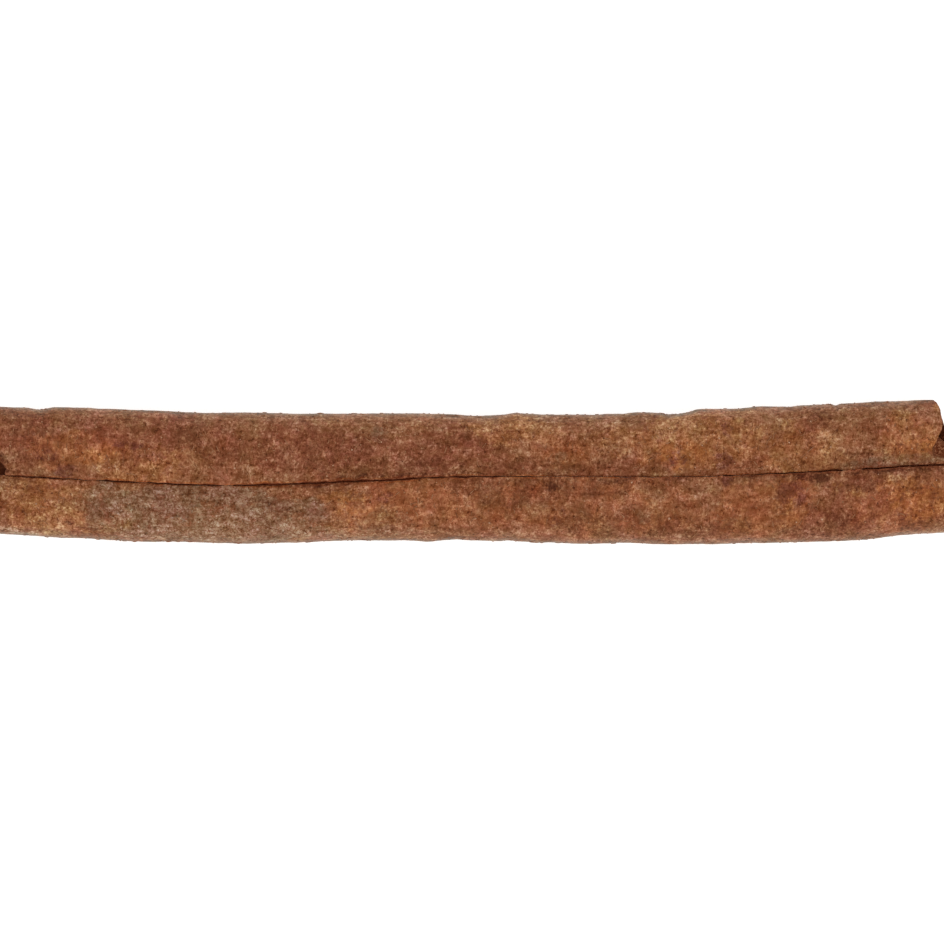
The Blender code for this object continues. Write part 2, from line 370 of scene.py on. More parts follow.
def along(values, share):
    """Values at shares of the length, on a smooth curve through evenly spaced values."""
    values = np.asarray(values, float)
    place = np.clip(share, 0.0, 1.0) * (len(values) - 1)
    index = np.minimum(place.astype(int), len(values) - 2)
    t = place - index
    before = values[np.maximum(index - 1, 0)]
    start, end = values[index], values[index + 1]
    after = values[np.minimum(index + 2, len(values) - 1)]
    slope, bend = end - before, 2 * before - 5 * start + 4 * end - after
    twist = 3 * (start - end) + after - before
    return start + 0.5 * t * (slope + t * (bend + t * twist))


def eased(t):
    """0 up to 0, 1 from 1 on, and a smooth rise between them."""
    t = np.clip(t, 0.0, 1.0)
    return t * t * (3 - 2 * t)


def hills(places, shape, seed):
    """Smooth noise of about -1 to 1 at each place along and across the bark."""
    length, breadth, octaves = shape
    flat = places.reshape(-1, 2) / (length * MM, breadth * MM)
    drift = SEED_DISTANCE * seed
    values = [noise.fractal((x, y, drift), 1.0, 2.0, octaves) for x, y in flat.tolist()]
    return np.array(values).reshape(places.shape[:-1])


class Columns:
    """The columns of points across the strip, from the near scroll's long edge to the far one's."""

    def __init__(self, steps):
        near, far = (self.winding(edge, steps) for edge in (NEAR_EDGE, FAR_EDGE))
        back = np.arange(1, BACK_PIECES) / BACK_PIECES
        start, stop = len(near), len(near) + len(back)
        self.scrolls = {"near": slice(0, start), "far": slice(stop, None)}
        self.back, self.beside_back = slice(start, stop), [start - 1, stop]
        self.angle = np.concatenate([near[::-1], np.full(len(back), BOTTOM), far])
        self.back_share = back
        side = BOTTOM - 1.0
        self.order = np.concatenate([side - near[::-1], back - 0.5, far - side])
        self.count = len(self.angle)

    @staticmethod
    def winding(edge, steps):
        """Winding angles from under a scroll, over it and inside it, to the bark's long edge."""
        stops = (*STEP_STOPS, edge)
        angles = [BOTTOM]
        for start, stop, step in zip(stops, stops[1:], steps):
            pieces = round((stop - start) / step)
            angles += [start + (stop - start) * k / pieces for k in range(1, pieces + 1)]
        return np.array(angles)


def wave(share, turn, phase):
    """The bark's waviness. It fades out at the seam, where the scrolls press on each other."""
    swing = 0.0
    for number, (pace, twist, height) in enumerate(WAVES, start=1):
        start = number * phase
        swing = swing + height * np.sin(pace * share + twist * np.sin(turn + start) + start)
    return swing * (1.0 + np.cos(turn)) / 2.0


def turned_in(angle):
    """How far a scroll has wound inwards at these angles: by one layer of bark for each turn."""
    layers = 0.0
    for start in (TURN_IN_FROM, TURN_IN_FROM + 360.0):
        layers = layers + eased((angle - start) / TURN_IN_OVER)
    return layers * (BARK + TURN_GAP)


def scroll_points(share, angle, depth, lift, scroll, lips):
    """Y and Z of points that far under a scroll's outer face, lifted along its radius."""
    far = scroll == "far"
    side, phase = (1.0, FAR_PHASE) if far else (-1.0, NEAR_PHASE)
    stray, opening = lips
    places, gaps = np.transpose(SEAM_GAP)
    gap = np.interp(share, places / 1000.0, gaps) * MM * opening
    width = along(FAR_WIDTH if far else NEAR_WIDTH, share) * MM
    height = HEIGHT + side * SWELL * np.sin(SWELL_PACE * share + SWELL_PHASE)
    turn = np.radians(angle)
    squareness = np.where((angle > TOP) & (angle < SEAM), -np.sin(2.0 * turn), 0.0)
    shoulder = along(FAR_SHOULDER if far else NEAR_SHOULDER, share)
    shoulder = shoulder + (TOUCHING_SHOULDER - shoulder) * eased(1.0 - gap / TOUCHING_GAP)
    power = ROUND + (shoulder - ROUND) * squareness
    reach = (np.abs(np.cos(turn)) ** power + np.abs(np.sin(turn)) ** power) ** (-1.0 / power)
    half_width = (width - gap / 2.0) / 2.0
    half_height = height / 2.0
    out = (half_width - depth) * np.cos(turn) * reach
    up = (half_height - depth) * np.sin(turn) * reach
    radius = np.hypot(out, up)
    scale = 1.0 + (wave(share, turn, phase) + lift - turned_in(angle)) / radius
    shut = eased((half_height - up) / SEAM_DEPTH) * (angle > TOP) + (angle >= SEAM)
    aside = gap / 2.0 * (1.0 - np.minimum(shut, 1.0)) + PRESSED_GAP + half_width + out * scale
    stray = stray * eased((angle - RAGGED_FROM) / RAGGED_OVER)
    y = along(SEAM_STRAY, share) * MM + stray + side * aside
    return y, half_height + up * scale - FOOT_DEPTH


class Strip:
    """The rolled strip of bark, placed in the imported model's box."""

    def __init__(self, low, high):
        self.low, self.high = np.array(low), np.array(high)
        self.length = self.high[0] - self.low[0]
        self.shift = 0.0
        size = RAGGED_HILLS[0] * MM
        self.lip_x = np.arange(self.low[0], self.high[0], size / RAGGED_STEPS)
        places = np.stack([self.lip_x, np.full_like(self.lip_x, OFF_LATTICE * size)], axis=-1)
        self.lip_waves = [hills(places, RAGGED_HILLS, LIP_SEED + number) for number in (0, 1)]
        outer = Columns(OUTER_STEPS)
        middle = np.zeros((1, outer.count))
        row = self.points(middle, outer, 0.0, middle)[0]
        steps = np.hypot(*np.diff(row[:, 1:], axis=0).T)
        arc = np.concatenate([[0.0], np.cumsum(steps)])
        arc -= np.interp(0.0, outer.order, arc)
        self.outer, self.arcs = outer, arc
        x = self.stations(outer, OUTER_STATIONS)
        y = self.points(x, outer, 0.0, np.zeros_like(x))[..., 1]
        self.shift = (self.low[1] + self.high[1] - y.min() - y.max()) / 2.0

    def share(self, x):
        """The share of the stick's length at x."""
        return (x - self.low[0]) / self.length

    def lips(self, x):
        """How far the seam strays from its smooth line, and how much of its gap is open."""
        stray, swing = (np.interp(x, self.lip_x, waves) for waves in self.lip_waves)
        return RAGGED_STRAY * stray, np.maximum(1.0 + RAGGED_SWING * swing, 0.0)

    def arc(self, columns):
        """How far each column lies across the flat strip, from the middle of its back."""
        return np.interp(columns.order, self.outer.order, self.arcs)

    def places(self, x, columns):
        """Where on the flat strip the points at x in each column lie."""
        return np.stack([x, np.broadcast_to(self.arc(columns), x.shape)], axis=-1)

    def arc_at(self, scroll, angle):
        """How far across the flat strip this winding angle of a scroll lies."""
        side = BOTTOM - 1.0
        order = angle - side if scroll == "far" else side - angle
        return np.interp(order, self.outer.order, self.arcs)

    def points(self, x, columns, depth, lift):
        """The points at x in each column, that far under the outer face and lifted that much."""
        share = self.share(x)
        y, z = np.empty_like(x), np.empty_like(x)
        for scroll, part in columns.scrolls.items():
            y[:, part], z[:, part] = scroll_points(
                share[:, part], columns.angle[part], depth, lift[:, part], scroll,
                self.lips(x[:, part]),
            )
        t = columns.back_share
        rise = BACK_HOLLOW * (1.0 - np.cos(math.tau * t)) / 2.0
        for values, extra in ((y, 0.0), (z, rise)):
            start, stop = values[:, columns.beside_back].T[..., None]
            values[:, columns.back] = start + (stop - start) * t + extra
        z[:, columns.back] -= lift[:, columns.back]
        return np.stack([x, y + self.shift, z], axis=-1)

    def ends(self, columns, inward):
        """X of the strip's two cut ends in each column of its outer face, or of its inner one."""
        arc = self.arc(columns)
        found = []
        for number, (end, sign) in enumerate((("left", 1.0), ("right", -1.0))):
            missing = np.zeros(columns.count)
            for scroll, part in columns.scrolls.items():
                missing[part] = np.interp(columns.angle[part], *zip(*BROKEN[scroll, end])) * MM
                if inward and (scroll, end) in SLANTED:
                    slant = np.interp(columns.angle[part], *zip(*SLANTED[scroll, end])) * MM
                    missing[part] -= slant
            beside = missing[columns.beside_back]
            missing[columns.back] = np.interp(columns.back_share, (0, 1), beside)
            aside = np.full(columns.count, OFF_LATTICE * CHIP_HILLS[0] * MM)
            chips = np.abs(hills(np.stack([aside, arc], axis=-1), CHIP_HILLS, SEED + number))
            edge = self.low[0] if sign > 0 else self.high[0]
            found.append(edge + sign * (missing + CHIP_DEPTH * chips))
        return found

    def stations(self, columns, count, inward=False):
        """X of every point of a face. The stations crowd towards the cut ends."""
        t = np.linspace(0.0, 1.0, count)
        t = t - CROWDING * np.sin(math.tau * t) / math.tau
        left, right = self.ends(columns, inward)
        return left + (right - left) * t[:, None]


def dented(strip, x, columns):
    """How deep the bark is dented at each point of its outer face."""
    share = strip.share(x)
    depth = np.zeros_like(x)
    for scroll, dents in DENTS.items():
        part = columns.scrolls[scroll]
        for place, angle, half_length, half_turn, most in dents:
            off = np.hypot(
                (share[:, part] - place / 1000.0) * strip.length / (half_length * MM),
                (columns.angle[part] - angle) / half_turn,
            )
            depth[:, part] += most * MM * eased(1.0 - off)
    return depth


def relief(places, layers, seed):
    """The height of all the relief's layers together at each place."""
    height = np.zeros(places.shape[:-1])
    for number, (*shape, most) in enumerate(layers):
        height += most * MM * hills(places, shape, seed + number)
    return height


def unpressed(columns):
    """1 where the bark is free, and 0 where the scrolls' sides press on each other."""
    from_start = eased((columns.angle - PRESSED_FROM) / PRESSED_OVER)
    to_end = eased((SEAM + PRESSED_OVER - columns.angle) / PRESSED_OVER)
    return 1.0 - from_start * to_end


def patch_masks(strip, places):
    """How strongly each kind of patch colours the bark at each place."""
    warp = [PATCH_WARP * hills(places, WARP_HILLS, WARP_SEED + axis) for axis in (0, 1)]
    masks = {kind: np.zeros(places.shape[:-1]) for kind, _ in PATCHES}
    for (kind, scroll), patches in PATCHES.items():
        for place, angle, half_length, half_breadth, strength in patches:
            x = strip.low[0] + place / 1000.0 * strip.length
            y = strip.arc_at(scroll, angle)
            off = np.hypot(
                (places[..., 0] - x) / (half_length * MM) + warp[0] * half_breadth / half_length,
                (places[..., 1] - y) / (half_breadth * MM) + warp[1],
            )
            patch = strength * eased((1.0 + PATCH_RIM / 2.0 - off) / PATCH_RIM)
            masks[kind] = np.maximum(masks[kind], patch)
    for kind in ("ash_and_painted_highlight", "dust_and_painted_rim_light"):
        masks[kind] *= np.maximum(1.0 - masks["cork"], 0.0)
    # Painted shade on the bark wound inside the scrolls.
    wound_in = eased((strip.outer.angle - INSIDE_FROM) / INSIDE_OVER)
    masks["inside"] = np.broadcast_to(wound_in, places.shape[:-1])
    return masks


class Mesh:
    """Vertices, faces and per-vertex values that are joined into one mesh."""

    def __init__(self):
        self.points, self.unrolled, self.faces, self.looks = [], [], [], []
        self.count = 0

    def add(self, points, places, layer):
        """Adds a grid of points, and returns their numbers in the same grid."""
        numbers = self.count + np.arange(points[..., 0].size).reshape(points.shape[:-1])
        flat = np.concatenate([places, np.full(places.shape[:-1] + (1,), layer)], axis=-1)
        self.points.append(points.reshape(-1, 3))
        self.unrolled.append(flat.reshape(-1, 3))
        self.count += numbers.size
        return numbers

    def face(self, corners, look):
        """Adds one face."""
        self.faces.append([int(corner) for corner in corners])
        self.looks.append(look)

    def quads(self, grid, looks):
        """Faces between neighbouring rows and columns of a grid of vertex numbers."""
        corners = [grid[:-1, :-1], grid[1:, :-1], grid[1:, 1:], grid[:-1, 1:]]
        self.faces += np.stack([corner.ravel() for corner in corners], axis=-1).tolist()
        self.looks += np.broadcast_to(looks, corners[0].shape).ravel().tolist()

    def zip(self, first, first_order, second, second_order, look):
        """Triangles between two rows of points that aren't equally many."""
        i = j = 0
        while i < len(first) - 1 or j < len(second) - 1:
            ahead = j == len(second) - 1 or (
                i < len(first) - 1 and first_order[i + 1] <= second_order[j + 1]
            )
            if ahead:
                self.face((first[i], second[j], first[i + 1]), look)
                i += 1
            else:
                self.face((first[i], second[j], second[j + 1]), look)
                j += 1


def cap_rows(strip, mesh, outer_x, inner_x, places, lift, end):
    """Rows of points across the bark's thickness at a cut end, from the outer face inwards."""
    sign = 1.0 if end == 0 else -1.0
    rows = []
    for layer in range(1, CAP_LAYERS):
        t = layer / CAP_LAYERS
        place = places.copy()
        place[:, 0] = t * BARK
        rough = hills(place, FRACTURE_HILLS, CAP_SEED + end)
        x = outer_x + (inner_x - outer_x) * t
        x = x + sign * FRACTURE * (1.0 + FRACTURE_SWING * rough) * math.sin(math.pi * t)
        x = np.clip(x, strip.low[0], strip.high[0])
        row = strip.points(x[None, :], strip.outer, t * BARK, (1.0 - t) * lift[None, :])
        rows.append(mesh.add(row, place[None, :, :], CUT_LAYER)[0])
    return rows


def bark_mesh(strip):
    """The whole strip as one closed mesh, with its patches and its outer face's numbers."""
    outer, inner = strip.outer, Columns(INNER_STEPS)
    mesh = Mesh()

    x = strip.stations(outer, OUTER_STATIONS)
    places = strip.places(x, outer)
    lift = relief(places, OUTER_RELIEF, SEED) * unpressed(outer) - dented(strip, x, outer)
    outer_points = strip.points(x, outer, 0.0, lift)
    outer_grid = mesh.add(outer_points, places, 0.0)
    masks = patch_masks(strip, places)

    x_in = strip.stations(inner, INNER_STATIONS, inward=True)
    places_in = strip.places(x_in, inner)
    lift_in = -relief(places_in, INNER_RELIEF, INNER_SEED)
    inner_grid = mesh.add(strip.points(x_in, inner, BARK, lift_in), places_in, INNER_LAYER)

    past_lip = np.minimum(outer.angle[:-1], outer.angle[1:]) > LIP
    mesh.quads(outer_grid, np.where(past_lip, PRESSED_LOOK, OUTER_LOOK))
    mesh.quads(inner_grid[:, ::-1], INNER_LOOK)
    for column in (0, -1):
        mesh.zip(outer_grid[:, column], x[:, column], inner_grid[:, column], x_in[:, column], CUT_LOOK)
    for end in (0, -1):
        reach = np.interp(outer.order, inner.order, x_in[end])
        rows = [outer_grid[end]]
        rows += cap_rows(strip, mesh, x[end], reach, places[end], lift[end], abs(end))
        mesh.quads(np.stack(rows), CUT_LOOK)
        mesh.zip(rows[-1], outer.order, inner_grid[end], inner.order, CUT_LOOK)
        for column in (0, -1):
            mesh.face([row[column] for row in rows] + [inner_grid[end, column]], CUT_LOOK)
    return mesh, masks, outer_grid


def held(strip, points):
    """The points held in the stick's box: squeezed at its sides and top rather than cut flat."""
    points = points.copy()
    for axis, side, limit, room in (
        (1, -1.0, strip.low[1], SIDE_ROOM),
        (1, 1.0, strip.high[1], SIDE_ROOM),
        (2, 1.0, strip.high[2], TOP_ROOM),
    ):
        over = np.maximum(side * (points[..., axis] - limit) + room, 0.0)
        points[..., axis] -= side * (over - room * np.tanh(over / room))
    return np.clip(points, strip.low, strip.high)


def add_object(name, data):
    """A new object in the scene."""
    item = bpy.data.objects.new(name, data)
    bpy.context.scene.collection.objects.link(item)
    return item


def make_object(name, points, faces, materials):
    """A mesh object of these points and faces, with all its faces pointing out."""
    mesh = bpy.data.meshes.new(name)
    mesh.from_pydata(points.tolist(), [], faces)
    shape = bmesh.new()
    shape.from_mesh(mesh)
    bmesh.ops.recalc_face_normals(shape, faces=shape.faces)
    shape.to_mesh(mesh)
    shape.free()
    for material in materials:
        mesh.materials.append(material)
    return add_object(name, mesh)


def make_piece(name, points, faces, materials):
    """An object that is part of the stick."""
    piece = make_object(name, points, faces, materials)
    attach(piece, BODY)
    return piece


def store(mesh, name, values):
    """Keeps a value or a vector for each vertex, for the materials to read."""
    values = np.ascontiguousarray(values, np.float32)
    kind, field = ("FLOAT_VECTOR", "vector") if values.ndim > 1 else ("FLOAT", "value")
    mesh.attributes.new(name, kind, "POINT").data.foreach_set(field, values.ravel())


def tone(red, green, blue):
    """A linear colour from the usual 0 to 255 screen values."""
    def linear(value):
        value /= 255.0
        return value / 12.92 if value <= 0.04045 else ((value + 0.055) / 1.055) ** 2.4
    return (linear(red), linear(green), linear(blue), 1.0)


class Nodes:
    """A material's nodes, wired as they are made. The surface is its shader's inputs."""

    def __init__(self, name, shine=0.12):
        self.material = bpy.data.materials.new(name)
        self.material.use_nodes = True
        self.tree = self.material.node_tree
        self.surface = self.tree.nodes["Principled BSDF"].inputs
        self.feed({"Specular IOR Level": shine})

    def add(self, kind, output, inputs=None, **settings):
        """An output of a new node with these settings and inputs, by their names or numbers."""
        node = self.tree.nodes.new(kind)
        for key, value in settings.items():
            setattr(node, key, value)
        for key, value in (inputs or {}).items():
            self.put(node.inputs[key], value)
        return node.outputs[output]

    def put(self, socket, value):
        """Feeds a socket from another node's output, or sets its plain value."""
        if isinstance(value, bpy.types.NodeSocket):
            self.tree.links.new(value, socket)
        else:
            socket.default_value = value

    def feed(self, values):
        """Feeds the surface's sockets, which are given by name."""
        for name, value in values.items():
            self.put(self.surface[name], value)

    def math(self, operation, first, second=0.0, third=0.0):
        inputs = {0: first, 1: second, 2: third}
        return self.add("ShaderNodeMath", 0, inputs, operation=operation)

    def more(self, level, layer, strength):
        """The level with that much of a layer added to it."""
        return self.math("MULTIPLY_ADD", layer, strength, level)

    def places(self, along=1.0, across=1.0):
        """Places on the flat strip in millimetres, multiplied by a factor each way."""
        where = self.add("ShaderNodeAttribute", "Vector", attribute_name="unrolled")
        inputs = {0: where, 1: (along / MM, across / MM, 1.0 / MM)}
        return self.add("ShaderNodeVectorMath", 0, inputs, operation="MULTIPLY")

    def noise(self, places, scale, detail, roughness, distortion=0.0):
        """Noise of about 0 to 1. A greater scale is finer, and the detail is its octaves."""
        inputs = {
            "Vector": places, "Scale": scale, "Detail": detail,
            "Roughness": roughness, "Distortion": distortion,
        }
        return self.add("ShaderNodeTexNoise", "Fac", inputs)

    def value(self, name):
        return self.add("ShaderNodeAttribute", "Fac", attribute_name=name)

    def sum(self, layers):
        """Noises added up, each with its own strength. The sum is 0.5 where all of them are."""
        total = 0.5 - 0.5 * sum(strength for _, strength in layers)
        for level, strength in layers:
            total = self.more(total, level, strength)
        return total

    def ramp(self, level, stops):
        """A colour for a level, from (level, colour) stops."""
        output = self.add("ShaderNodeValToRGB", "Color", {"Fac": level})
        band = output.node.color_ramp
        while len(band.elements) < len(stops):
            band.elements.new(0.5)
        for element, (place, colour) in zip(band.elements, stops):
            element.position = place
            element.color = colour
        return output

    def tones(self, level, *stops):
        """A colour for a level, from stops that each have a level and three screen values."""
        return self.ramp(level, [(place, tone(*colour)) for place, *colour in stops])

    def rise(self, level, start, stop):
        """0 where the level is at start, 1 where it is at stop, and smooth between them."""
        inputs = {"Value": level, "From Min": start, "From Max": stop}
        return self.add("ShaderNodeMapRange", "Result", inputs, interpolation_type="SMOOTHSTEP")

    def line(self, level, width):
        """1 where the level passes 0.5, falling to 0 at that much above and below it."""
        return self.rise(self.math("ABSOLUTE", self.math("SUBTRACT", level, 0.5)), width, 0.0)

    def mix(self, share, first, second, blend="MIX"):
        inputs = {0: share, 6: first, 7: second}
        return self.add("ShaderNodeMix", 2, inputs, data_type="RGBA", blend_type=blend)

    def bump(self, height, distance, strength):
        inputs = {"Height": height, "Distance": distance, "Strength": strength}
        return self.add("ShaderNodeBump", "Normal", inputs)

    def finish(self, colour, normal, roughness):
        self.feed({"Base Color": colour, "Normal": normal, "Roughness": roughness})
        return self.material


def grain_level(bark, flat, speckle, crusty):
    """The outer face's lightness: clouds and grain, flakes, fine fibres, and crack lines and pits with
    painted shade.
    """
    cloud = bark.noise(flat, 0.28, 3.0, 0.95)
    grain = bark.noise(flat, 1.3, 3.0, 0.98)
    streak = bark.noise(bark.places(0.5, 3.0), 0.8, 2.0, 0.6)
    wrinkle = bark.noise(bark.places(2.6, 0.6), 0.8, 1.0, 0.5)
    fine = bark.sum([(grain, 0.80), (speckle, 1.00), (streak, 0.40), (wrinkle, 0.1)])
    contrast = bark.more(0.22, crusty, 0.22)
    contrast = bark.more(contrast, bark.value("amber"), -0.25)
    contrast = bark.more(contrast, bark.noise(flat, 0.5, 2.0, 0.7), 1.7)
    fine = bark.math("MULTIPLY", bark.math("SUBTRACT", fine, 0.5), contrast)
    level = bark.math("ADD", bark.sum([(cloud, 0.76)]), fine)

    flakes = bark.rise(bark.noise(bark.places(1.4, 1.2), 1.1, 2.0, 0.6), 0.53, 0.57)
    level = bark.more(bark.math("SUBTRACT", level, 0.02), flakes, 0.10)
    # Painted shadow in thin crack lines.
    crack_shadows = bark.rise(bark.noise(bark.places(1.6, 1.2), 1.5, 1.0, 0.5), 0.36, 0.31)
    level = bark.more(level, crack_shadows, -0.20)

    some = bark.rise(bark.noise(flat, 0.9, 2.0, 0.6), 0.42, 0.58)
    upright = bark.line(bark.noise(bark.places(1.9, 0.7), 1.9, 1.0, 0.5, 0.5), 0.07)
    curly = bark.line(bark.noise(flat, 1.6, 1.0, 0.6, 0.8), 0.05)
    hairs = bark.math("MULTIPLY", bark.math("MAXIMUM", upright, curly), some)
    level = bark.more(level, hairs, 0.16)
    # Pits, darkened: partly their own colour, partly painted shade.
    pits = bark.rise(bark.noise(flat, 2.6, 2.0, 0.8), 0.42, 0.25)
    return bark.more(level, pits, -0.28)


def drifted(bark, colour, flat):
    """The colour with its hue drifting from place to place."""
    for scale, low, high in HUE_DRIFTS:
        drift = bark.noise(flat, scale, 4.0, 0.85)
        tint = bark.ramp(drift, [(0.3, (*low, 1.0)), (0.7, (*high, 1.0))])
        colour = bark.mix(1.0, colour, tint, "MULTIPLY")
    return colour


def patched(bark, colour, flat, crusty):
    """The colour with the tint of every patch, and with pale scales on the crusty ones."""
    mottle = bark.noise(flat, 0.8, 4.0, 0.9)
    for tints, swing in ((LIGHT_TINTS, MOTTLING), (DARK_TINTS, -MOTTLING)):
        spread = bark.more(1.0 - swing / 2.0, mottle, swing)
        for kind, tint in tints.items():
            strength = bark.math("MULTIPLY", bark.value(kind), spread)
            share = bark.rise(strength, TINT_FROM, TINT_FULL)
            colour = bark.mix(share, colour, (*tint, 1.0), "MULTIPLY")
    scales = bark.rise(bark.noise(flat, 1.9, 3.0, 0.8), 0.50, 0.64)
    share = bark.math("MULTIPLY", bark.math("MULTIPLY", scales, crusty), 0.35)
    return bark.mix(share, colour, tone(176, 142, 112))


def outer_bark():
    """The outer face: sandy brown grain, fine fibres and pits, and patches of other colour, some of
    them painted light and shade.
    """
    bark = Nodes("outer_bark")
    flat = bark.places()
    speckle = bark.noise(flat, 4.2, 2.0, 0.9)
    crusty = bark.math("MAXIMUM", bark.value("ash_and_painted_highlight"), bark.value("cork"))
    level = grain_level(bark, flat, speckle, crusty)
    colour = bark.tones(
        level,
        (0.05, 78, 34, 9), (0.20, 103, 52, 21), (0.30, 113, 61, 29), (0.42, 124, 71, 41),
        (0.50, 133, 80, 50), (0.58, 145, 90, 60), (0.70, 162, 108, 77), (0.78, 174, 122, 91),
        (0.92, 198, 150, 119),
    )
    colour = patched(bark, drifted(bark, colour, flat), flat, crusty)
    bark.feed({
        "Sheen Weight": 0.23, "Sheen Roughness": 0.4, "Sheen Tint": (0.42, 1.00, 0.93, 1.0),
    })
    return bark.finish(colour, bark.bump(level, 0.05 * MM, 0.7), bark.more(0.9, speckle, -0.2))


def pressed_bark_painted_shade():
    """The outer face past the lips, as painted shade: red-brown in the seam, darker where wound in."""
    bark = Nodes("pressed_bark_painted_shade", shine=0.02)
    flat = bark.places()
    level = bark.sum([(bark.noise(flat, 0.9, 3.0, 0.9), 1.4), (bark.noise(flat, 4.0, 2.0, 0.9), 1.0)])
    # Painted shade: red-brown on the seam's walls, and darker on the bark wound inside the scroll.
    pressed = bark.tones(level, (0.25, 80, 34, 17), (0.50, 106, 51, 29), (0.75, 134, 76, 50))
    inside = bark.tones(level, (0.25, 42, 16, 8), (0.50, 72, 31, 15), (0.75, 108, 56, 32))
    colour = bark.mix(bark.value("inside"), pressed, inside)
    return bark.finish(colour, bark.bump(level, 0.05 * MM, 0.7), 0.95)


def inner_bark():
    """The smooth inner face: darker and redder, with fine lengthwise lines."""
    bark = Nodes("inner_bark", shine=0.03)
    lines = bark.noise(bark.places(0.25, 4.0), 0.9, 4.0, 0.7)
    cloud = bark.noise(bark.places(), 0.5, 3.0, 0.6)
    level = bark.more(bark.math("MULTIPLY", cloud, 0.4), lines, 0.6)
    colour = bark.tones(level, (0.25, 48, 21, 12), (0.5, 82, 40, 24), (0.75, 116, 66, 42))
    return bark.finish(colour, bark.bump(lines, 0.05 * MM, 0.7), bark.more(0.7, cloud, 0.2))


def cut_bark():
    """The broken edge of the bark: a grain of dark to pale brown."""
    bark = Nodes("cut_bark", shine=0.03)
    grain = bark.noise(bark.places(), 4.0, 3.0, 0.9)
    colour = bark.tones(grain, (0.36, 58, 22, 9), (0.50, 104, 50, 25), (0.64, 166, 116, 84))
    return bark.finish(colour, bark.bump(grain, 0.08 * MM, 0.8), bark.more(0.7, grain, 0.2))


def loose_bark(name, *stops):
    """A crumb's or a fibre's colour: its own paleness, with some grain."""
    bark = Nodes(name)
    grain = bark.noise(bark.places(), 9.0, 2.0, 0.6)
    level = bark.more(bark.math("SUBTRACT", bark.value("paleness"), 0.15), grain, 0.3)
    return bark.finish(bark.tones(level, *stops), bark.bump(grain, 0.02 * MM, 0.5), 0.85)


def make_bark(strip):
    """The strip of bark, in place of the plain solid. Its outer face is handed back."""
    mesh, masks, outer_grid = bark_mesh(strip)
    points = np.concatenate(mesh.points)
    materials = [outer_bark(), pressed_bark_painted_shade(), inner_bark(), cut_bark()]
    piece = make_piece("bark_strip", held(strip, points), mesh.faces, materials)
    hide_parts(NODE)
    data = piece.data
    data.polygons.foreach_set("material_index", mesh.looks)
    store(data, "unrolled", np.concatenate(mesh.unrolled))
    for kind, mask in masks.items():
        values = np.zeros(len(points))
        values[outer_grid.ravel()] = mask.ravel()
        store(data, kind, values)
    data.shade_smooth()
    data.set_sharp_from_angle(angle=math.radians(SHARP_ANGLE))
    return Skin(strip.outer, points[outer_grid])


def unit(vectors):
    """The vectors, each with a length of 1."""
    return vectors / np.linalg.norm(vectors, axis=-1, keepdims=True)


class Skin:
    """The outer face as a grid of points, from which places on it are read."""

    def __init__(self, columns, points):
        self.points = points
        self.along, self.across = np.gradient(points, axis=0), np.gradient(points, axis=1)
        self.out = unit(np.cross(self.across, self.along))
        open_face = (columns.angle >= LOOSE_FROM) & (columns.angle <= LOOSE_TO)
        widths = np.linalg.norm(self.across, axis=-1).mean(axis=0) * open_face
        self.column_shares = widths / widths.sum()

    def scattered(self, random, count):
        """Fractional rows and columns of places picked evenly from the open part of the face."""
        last = len(self.points) - 1.0
        rows = random.uniform(START_MARGIN, last - START_MARGIN, count)
        columns = random.choice(len(self.column_shares), count, p=self.column_shares)
        return rows, columns + random.uniform(-0.5, 0.5, count)

    def at(self, rows, columns):
        """The points at fractional rows and columns, and the ways out, along and across there."""
        i, j = rows.astype(int), columns.astype(int)
        u, v = (rows - i)[..., None], (columns - j)[..., None]
        found = []
        for grid in (self.points, self.out, self.along, self.across):
            low = grid[i, j] * (1 - u) + grid[i + 1, j] * u
            high = grid[i, j + 1] * (1 - u) + grid[i + 1, j + 1] * u
            found.append(low * (1 - v) + high * v)
        return found


def lump():
    """The points and faces of a plain lump with twenty sides and a radius of 1."""
    shape = bmesh.new()
    bmesh.ops.create_icosphere(shape, subdivisions=1, radius=1.0)
    points = np.array([vert.co[:] for vert in shape.verts])
    faces = np.array([[vert.index for vert in face.verts] for face in shape.faces])
    shape.free()
    return points, faces


def make_loose(name, strip, points, faces, paleness, material):
    """One piece of loose bits that each have their own points and paleness, and the same faces."""
    count, each = points.shape[:2]
    faces = (each * np.arange(count)[:, None, None] + faces).reshape(-1, faces.shape[-1])
    points = points.reshape(-1, 3)
    piece = make_piece(name, held(strip, points), faces.tolist(), [material])
    store(piece.data, "unrolled", points)
    store(piece.data, "paleness", np.repeat(paleness, each))
    piece.data.shade_smooth()


def make_crumbs(strip, skin):
    """Crumbs of powdered bark that lie on the outer face."""
    random = np.random.default_rng(SEED)
    rows, columns = skin.scattered(random, CRUMBS)
    place, out = skin.at(rows, columns)[:2]
    out = unit(out)
    ahead = unit(np.cross(out, random.normal(size=(CRUMBS, 3))))
    aside = np.cross(out, ahead)
    smallest, largest = CRUMB_RADIUS
    radius = smallest + (largest - smallest) * random.power(CRUMB_POWER, CRUMBS)
    radius *= CRUMB_STEEP + (1.0 - CRUMB_STEEP) * np.abs(out[:, 2])
    shape, faces = lump()
    jitter = random.uniform(*CRUMB_UNEVEN, (CRUMBS, len(shape), 1))
    local = shape * jitter * radius[:, None, None]
    local[..., 2] *= CRUMB_FLATNESS
    points = place[:, None, :] + out[:, None, :] * (CRUMB_RISE * radius[:, None, None])
    for axis, direction in enumerate((ahead, aside, out)):
        points = points + local[..., [axis]] * direction[:, None, :]
    paleness = random.beta(*CRUMB_PALENESS, CRUMBS)
    material = loose_bark(
        "crumb_bark",
        (0.0, 94, 50, 30), (0.3, 122, 74, 46), (0.7, 160, 113, 82), (1.0, 200, 158, 130),
    )
    make_loose("crumbs", strip, points, faces, paleness, material)


